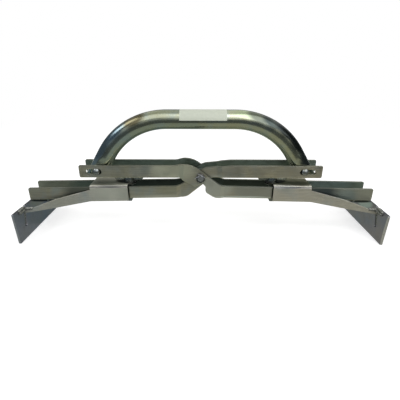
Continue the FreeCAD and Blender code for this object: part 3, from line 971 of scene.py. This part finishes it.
@dataclass
class Weld:
    """Way of laying the weld metal where a jaw arm meets the blade.

    The widths are shares of a bead's radius, and each wave of its edge has a size, a step for the bead's
    seed and a step along the bead.
    """

    ripple_mm: float = 1.7
    points: int = 14
    trough_width: float = 0.86
    taper_width: float = 0.8
    end_width: float = 0.45
    taper_from: float = 0.93
    waves: Tuple[Triple, ...] = ((0.08, 1.7, 2.1), (0.05, 1.0, 0.9))
    lump_mm: float = 1.9
    lump_height_mm: float = 0.9

    def bead(self, start: Vector, end: Vector, radius_mm: float, seed: int) -> Piece:
        """One rippled bead between two points.

        Args:
            start: Middle of the bead's first end.
            end: Middle of its last end.
            radius_mm: Radius at the ripples' crests.
            seed: Number that varies the ripples.

        Returns:
            The bead as a closed mesh.
        """
        along = end - start
        steps = max(4, round(along.length / (self.ripple_mm * MM / 2)))
        turn = Vector((0, 0, 1)).rotation_difference(along).to_euler()
        radius = radius_mm * MM
        bead = primitive(bpy.ops.mesh.primitive_circle_add, vertices=self.points,
                         radius=radius * self.end_width, fill_type="NGON", location=start, rotation=turn)
        settle(bead)
        edit(bead)
        width = self.end_width
        for count in range(1, steps + 1):
            share = count / steps
            wanted = 1.0 if count % 2 else self.trough_width
            wanted += sum(size * math.sin(seed * own + count * step) for size, own, step in self.waves)
            if share > self.taper_from or count == 1:
                wanted *= self.taper_width
            if count == steps:
                wanted = self.end_width
            bpy.ops.mesh.extrude_region_move(TRANSFORM_OT_translate={"value": along / steps})
            middle = start + along * share
            factor = wanted / width
            bpy.ops.transform.resize(value=(factor, factor, factor), center_override=middle)
            width = wanted
        leave()
        outward(bead)
        modify(bead, "SUBSURF", levels=2, render_levels=2)
        return bead

    def roughen(self, piece: Piece) -> None:
        """Give the joined weld its uneven, slightly pitted skin."""
        clouds = bpy.data.textures.new(piece.name + "_lumps", "CLOUDS")
        clouds.noise_scale = self.lump_mm * MM
        clouds.noise_depth = 2
        modify(piece, "DISPLACE", texture=clouds, texture_coords="LOCAL",
               strength=self.lump_height_mm * MM, mid_level=0.5)
        bpy.data.textures.remove(clouds)


@dataclass
class Jaw:
    """One sliding jaw: bent sheet, blade, welds, clamp bolt, washer and wing nut."""

    side: Side
    nodes: Dict[str, Piece]
    joints: Dict[str, Dict[str, Any]]
    finishes: Finishes
    edge_mm: float = 0.4
    blade_edge_mm: float = 0.5
    wing_edge_mm: float = 0.7
    washer_edge_mm: float = 0.2
    thread_pitch_mm: float = 1.25
    thread_radius_mm: float = 4.0
    thread_depth_mm: float = 0.6
    thread_flat: float = 0.12
    bar_height_mm: float = 5.0
    bar_width_mm: float = 7.0
    bar_half_length_mm: float = 14.0
    bar_edge_mm: float = 0.8
    weld_runs_mm: Tuple[Tuple[Triple, Triple, float], ...] = (
        ((0.0, -4.5, 3.0), (0.0, 11.0, 1.8), 1.9),
        ((-1.0, -3.0, -0.6), (-0.8, 10.5, -1.2), 1.9),
        ((-0.5, -4.6, 0.0), (-11.5, -6.0, 0.2), 2.3),
        ((-2.0, 8.0, -0.4), (-1.4, 10.4, -0.6), 1.7),
        ((0.4, -3.9, -4.0), (0.4, -1.8, -12.0), 1.1),
        ((1.9, -3.9, -5.0), (1.9, 0.6, -21.5), 1.6),
    )

    @property
    def body(self) -> str:
        """Body that carries the jaw."""
        return f"{self.side.word}_jaw"

    def build(self) -> None:
        """Model the jaw."""
        word = self.side.word
        sheet = forged_copy(self.nodes[f"{word}_jaw_body"], f"{word}_jaw_sheet", self.edge_mm)
        dress(sheet, self.body, self.finishes.jaw, [f"{word}_jaw_body"])
        blade = forged_copy(self.nodes[f"{word}_blade"], f"{word}_grip_blade", self.blade_edge_mm)
        dress(blade, self.body, self.finishes.blade, [f"{word}_blade"])
        node = f"{word}_clamp_washer"
        washer = forged_copy(self.nodes[node], f"{word}_flat_washer", self.washer_edge_mm)
        dress(washer, self.body, self.finishes.fastener, [node])
        self.wing_nut()
        self.clamp_bolt()
        for face, sign in (("front", -1), ("back", 1)):
            self.weld(face, sign)

    def wing_nut(self) -> None:
        """Cast wing nut with well rounded edges."""
        word = self.side.word
        nut = forged_copy(self.nodes[f"{word}_wing_nut"], f"{word}_cast_wing_nut", self.wing_edge_mm, 3)
        dress(nut, f"{word}_wing_nut", self.finishes.wing, [f"{word}_wing_nut"])

    def clamp_bolt(self) -> None:
        """Threaded stud welded to the bar that draws up under the limbs."""
        word = self.side.word
        joint = self.joints[f"{word}_wing_nut_turn"]
        axis = Vector(joint["axis"]).normalized()
        place = Vector(joint["pos_m"])
        low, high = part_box(f"{word}_clamp_bolt")
        bar_height = self.bar_height_mm * MM
        half_width = self.bar_width_mm / 2 * MM
        tilt = Vector((0, 0, 1)).rotation_difference(axis).to_matrix().to_4x4()
        frame = Matrix.Translation(place) @ tilt
        lift = half_width * abs(axis.x)
        bottom = (low.z + lift - place.z) / axis.z
        top = (high.z - place.z) / axis.z

        stud = self.stud(top - bottom)
        stud.matrix_world = frame @ Matrix.Translation((0, 0, bottom))
        settle(stud)
        bar = primitive(bpy.ops.mesh.primitive_cube_add, size=1,
                        scale=(2 * half_width, 2 * self.bar_half_length_mm * MM, bar_height))
        settle(bar)
        modify(bar, "BEVEL", width=self.bar_edge_mm * MM, segments=3)
        bar.matrix_world = frame @ Matrix.Translation((0, 0, bottom + bar_height / 2))
        settle(bar)
        bolt = join([stud, bar], f"{word}_threaded_clamp_bolt")
        smooth(bolt, angle=30)
        dress(bolt, self.body, self.finishes.fastener, [f"{word}_clamp_bolt"])

    def stud(self, length: float) -> Piece:
        """Stud with a real thread, which stands upright on the origin.

        Args:
            length: Length of the stud in metres.

        Returns:
            The stud as a closed mesh.
        """
        pitch = self.thread_pitch_mm * MM
        crest = self.thread_radius_mm * MM
        root = crest - self.thread_depth_mm * MM
        stud = primitive(bpy.ops.mesh.primitive_circle_add, vertices=4, radius=pitch, fill_type="NOTHING")
        edit(stud, False)
        mesh = bmesh.from_edit_mesh(stud.data)
        flat = self.thread_flat * pitch
        profile = ((root, 0), (root, flat), (crest, (pitch - flat) / 2), (crest, (pitch + flat) / 2))
        for vertex, (out, rise) in zip(mesh.verts, profile):
            vertex.co = Vector((out, 0, rise - pitch))
        mesh.verts.ensure_lookup_table()
        mesh.edges.remove(mesh.edges.get((mesh.verts[3], mesh.verts[0])))
        last = mesh.verts.new((root, 0, -flat))
        final = mesh.verts.new((root, 0, 0))
        mesh.verts.ensure_lookup_table()
        mesh.edges.new((mesh.verts[3], last))
        mesh.edges.new((last, final))
        bmesh.update_edit_mesh(stud.data)
        leave()
        turns = math.ceil(length / pitch) + 2
        modify(stud, "SCREW", axis="Z", steps=32, render_steps=32, iterations=turns, screw_offset=pitch,
               angle=2 * math.pi, use_merge_vertices=True, merge_threshold=0.001 * MM)
        edit(stud)
        bpy.ops.mesh.remove_doubles(threshold=DOUBLES)
        for height, way in ((0, -1), (length, 1)):
            bpy.ops.mesh.select_all(action="SELECT")
            bpy.ops.mesh.bisect(plane_co=(0, 0, height), plane_no=(0, 0, way), clear_outer=True,
                                use_fill=True)
        bpy.ops.mesh.select_all(action="SELECT")
        bpy.ops.mesh.normals_make_consistent(inside=False)
        leave()
        return stud

    def weld(self, face: str, sign: int) -> None:
        """Weld metal over the blade's top edge, back along the arm's end and down the slot outside.

        Args:
            face: Which arm, front or back.
            sign: Sign of Y on that arm.
        """
        word = self.side.word
        node = f"{word}_weld_{face}"
        low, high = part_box(node)
        seat = Vector(((low.x + high.x) / 2, (low.y + high.y) / 2, high.z))
        welder = Weld()
        beads = []
        for seed, (start, end, radius) in enumerate(self.weld_runs_mm, 1):
            ends = [seat + Vector((self.side.sign * out, sign * along, up)) * MM
                    for out, along, up in (start, end)]
            beads.append(welder.bead(ends[0], ends[1], radius, seed))
        piece = join(beads, f"{word}_{face}_weld_beads")
        welder.roughen(piece)
        smooth(piece, angle=70)
        dress(piece, self.body, self.finishes.weld, [node])


@dataclass(frozen=True)
class Lamp:
    """Soft rectangular lamp that faces the lifter: place and size in metres, power in watts."""

    name: str
    place: Triple
    size: Pair
    watts: float
    aim: Triple = (0, 0, 0.08)

    def hang(self) -> None:
        """Put the lamp into the scene."""
        data = bpy.data.lights.new(self.name, "AREA")
        data.shape = "RECTANGLE"
        data.size, data.size_y = self.size
        data.energy = self.watts
        lamp = bpy.data.objects.new(self.name, data)
        bpy.context.scene.collection.objects.link(lamp)
        lamp.location = self.place
        toward = Vector(self.aim) - Vector(self.place)
        lamp.rotation_euler = toward.to_track_quat("-Z", "Y").to_euler()


@dataclass(frozen=True)
class Flag:
    """Card that only the metal's reflections see: place and size in metres, turn in degrees."""

    name: str
    place: Triple
    size: Pair
    turn: Triple
    colour: str

    def stand(self) -> None:
        """Put the card into the scene."""
        card = primitive(bpy.ops.mesh.primitive_plane_add, size=1, location=self.place,
                         rotation=[math.radians(angle) for angle in self.turn])
        card.name = self.name
        card.scale = (self.size[0], self.size[1], 1)
        settle(card)
        card.visible_camera = False
        card.visible_diffuse = False
        card.visible_shadow = False
        card.visible_transmission = False
        material = bare_material(self.name + "_felt")
        tree = material.node_tree
        felt = add(tree, "Emission", {"Color": linear(self.colour), "Strength": 1.0})
        add(tree, "OutputMaterial", links={"Surface": felt})
        card.data.materials.append(material)


@dataclass
class Studio:
    """Pale floor, white surroundings, soft lamps and grey cards that shape the reflections."""

    floor_size: float = 14.0
    floor_colour: str = "#F4F4F4"
    floor_glow: float = 0.5
    floor_drop_mm: float = 0.05
    fade_from: float = 0.45
    fade_to: float = 1.1
    surroundings: float = 0.52
    lamps: Tuple[Lamp, ...] = (
        Lamp("front_softbox", (0.78, -0.87, 1.35), (1.6, 1.4), 10.2),
        Lamp("left_key", (-1.3, -0.1, 1.3), (0.8, 0.8), 6.0),
    )
    flags: Tuple[Flag, ...] = (
        Flag("under_floor_left", (-1.0, 0.3, SKIM), (2.0, 0.6), (0, 0, 0), "#6F7B78"),
        Flag("under_floor_right", (1.0, 0.3, SKIM), (2.0, 0.6), (0, 0, 0), "#8E9387"),
        Flag("near_floor_left", (-1.0, -0.11, SKIM), (2.0, 0.22), (0, 0, 0), "#89908B"),
        Flag("near_floor_right", (1.0, -0.11, SKIM), (2.0, 0.22), (0, 0, 0), "#979789"),
        Flag("far_floor_card", (0, -1.22, SKIM), (3.6, 2.0), (0, 0, 0), "#4C5051"),
        Flag("front_horizon_card", (0, -2.2, 0.25), (4.4, 0.5), (90, 0, 0), "#585E62"),
        Flag("front_left_card", (-1.3, -2.2, 0.95), (2.4, 0.9), (90, 0, 0), "#989C9E"),
        Flag("front_right_card", (1.1, -2.2, 0.75), (2.4, 0.5), (90, 0, 0), "#CACAC4"),
        Flag("back_low_card", (0, 1.3, 0.4), (3.6, 0.8), (90, 0, 0), "#6A706C"),
        Flag("back_high_left", (-0.9, 1.3, 1.2), (1.8, 0.8), (90, 0, 0), "#BCBCB4"),
        Flag("back_high_right", (0.9, 1.3, 1.2), (1.8, 0.8), (90, 0, 0), "#FFFFF8"),
        Flag("overhead_left", (-0.8, 0.5, 1.9), (1.6, 1.8), (0, 0, 0), "#B0B2AA"),
        Flag("overhead_right", (0.8, 0.5, 1.9), (1.6, 1.8), (0, 0, 0), "#E4E4DC"),
        Flag("left_side_card", (-1.6, -0.2, 0.8), (1.6, 2.8), (0, 90, 0), "#5E6A76"),
        Flag("right_side_card", (1.7, -0.2, 0.7), (1.4, 2.8), (0, 90, 0), "#444A4A"),
    )

    def build(self) -> None:
        """Set up the stage."""
        self.floor()
        self.world()
        for item in self.lamps:
            item.hang()
        for item in self.flags:
            item.stand()
        bpy.context.scene.view_settings.view_transform = "Standard"

    def floor(self) -> None:
        """Plain pale floor that keeps the lifter's shadow and fades to white far away."""
        floor = primitive(bpy.ops.mesh.primitive_plane_add, size=self.floor_size,
                          location=(0, 0, -self.floor_drop_mm * MM))
        floor.name = "studio_floor"
        material = bare_material("matt_white_paint")
        tree = material.node_tree
        ray = add(tree, "LightPath")
        place = add(tree, "TexCoord").outputs["Object"]
        distance = add(tree, "VectorMath", links={0: place}, operation="LENGTH")
        fade = add(tree, "MapRange", {"From Min": self.fade_from, "From Max": self.fade_to},
                   {"Value": distance.outputs["Value"]}, interpolation_type="SMOOTHSTEP")
        paint = add(tree, "BsdfDiffuse", {"Color": linear(self.floor_colour)})
        glow = add(tree, "Emission", {"Color": (1, 1, 1, 1), "Strength": self.floor_glow})
        lit = add(tree, "AddShader", links={0: paint, 1: glow})
        white = add(tree, "Emission", {"Color": (1, 1, 1, 1), "Strength": 1.0})
        faded = add(tree, "MixShader", links={0: fade, 1: lit, 2: white})
        seen = self.seen_directly(tree, ray)
        mixed = add(tree, "MixShader", links={0: seen, 1: paint, 2: faded})
        add(tree, "OutputMaterial", links={"Surface": mixed})
        floor.data.materials.append(material)

    @staticmethod
    def seen_directly(tree: Tree, ray: bpy.types.Node) -> Socket:
        """Share that is 1 for rays from the camera, from gloss and through glass."""
        seen = ray.outputs["Is Camera Ray"]
        for kind in ("Is Glossy Ray", "Is Transmission Ray"):
            seen = add(tree, "Math", links={0: seen, 1: ray.outputs[kind]},
                       operation="MAXIMUM").outputs[0]
        return seen

    def world(self) -> None:
        """White surroundings for the eye, a little dimmer as a light."""
        world = bpy.data.worlds.new("white_studio")
        bpy.context.scene.world = world
        world.use_nodes = True
        tree = world.node_tree
        tree.nodes.clear()
        ray = add(tree, "LightPath")
        seen = self.seen_directly(tree, ray)
        strength = add(tree, "MapRange", {"To Min": self.surroundings, "To Max": 1.0}, {"Value": seen})
        sky = add(tree, "Background", {"Color": (1, 1, 1, 1)}, {"Strength": strength})
        add(tree, "OutputWorld", links={"Surface": sky})


@dataclass
class Viewpoint:
    """Camera at the photograph's place and angle."""

    place_mm: Triple = (0.5, -431.8, 225.2)
    pitch_degrees: float = 23.3
    yaw: float = 0.003
    roll: float = 0.002
    sensor_mm: float = 36.0
    image_px: float = 400.0
    focal_px: float = 324.3

    def build(self) -> None:
        """Create the camera and make it the scene's own."""
        data = bpy.data.cameras.new("photo_camera")
        data.sensor_width = self.sensor_mm
        data.lens = self.focal_px / self.image_px * self.sensor_mm
        data.clip_start = 0.01
        camera = bpy.data.objects.new("photo_camera", data)
        bpy.context.scene.collection.objects.link(camera)
        turn = (Matrix.Rotation(self.yaw, 4, "Z")
                @ Matrix.Rotation(QUARTER_TURN - math.radians(self.pitch_degrees), 4, "X")
                @ Matrix.Rotation(self.roll, 4, "Z"))
        camera.matrix_world = Matrix.Translation(Vector(self.place_mm) * MM) @ turn
        bpy.context.scene.camera = camera


def main() -> None:
    """Build the lifter on its frame, in order, and report each piece."""
    logging.basicConfig(level=logging.INFO, format="%(name)s: %(message)s")
    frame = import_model()
    nodes = frame["nodes"]
    joints = {joint["name"]: joint for joint in frame["joints"]}
    pivot = Vector(joints["tongs_close"]["pos_m"])
    finishes = Finishes.mix()

    Arms(nodes, finishes).build()
    Pivot(nodes, finishes).build()
    Handle(nodes, finishes, pivot).build()
    for side in Side:
        Jaw(side, nodes, joints, finishes).build()

    Studio().build()
    Viewpoint().build()


if __name__ == "__main__":
    main()
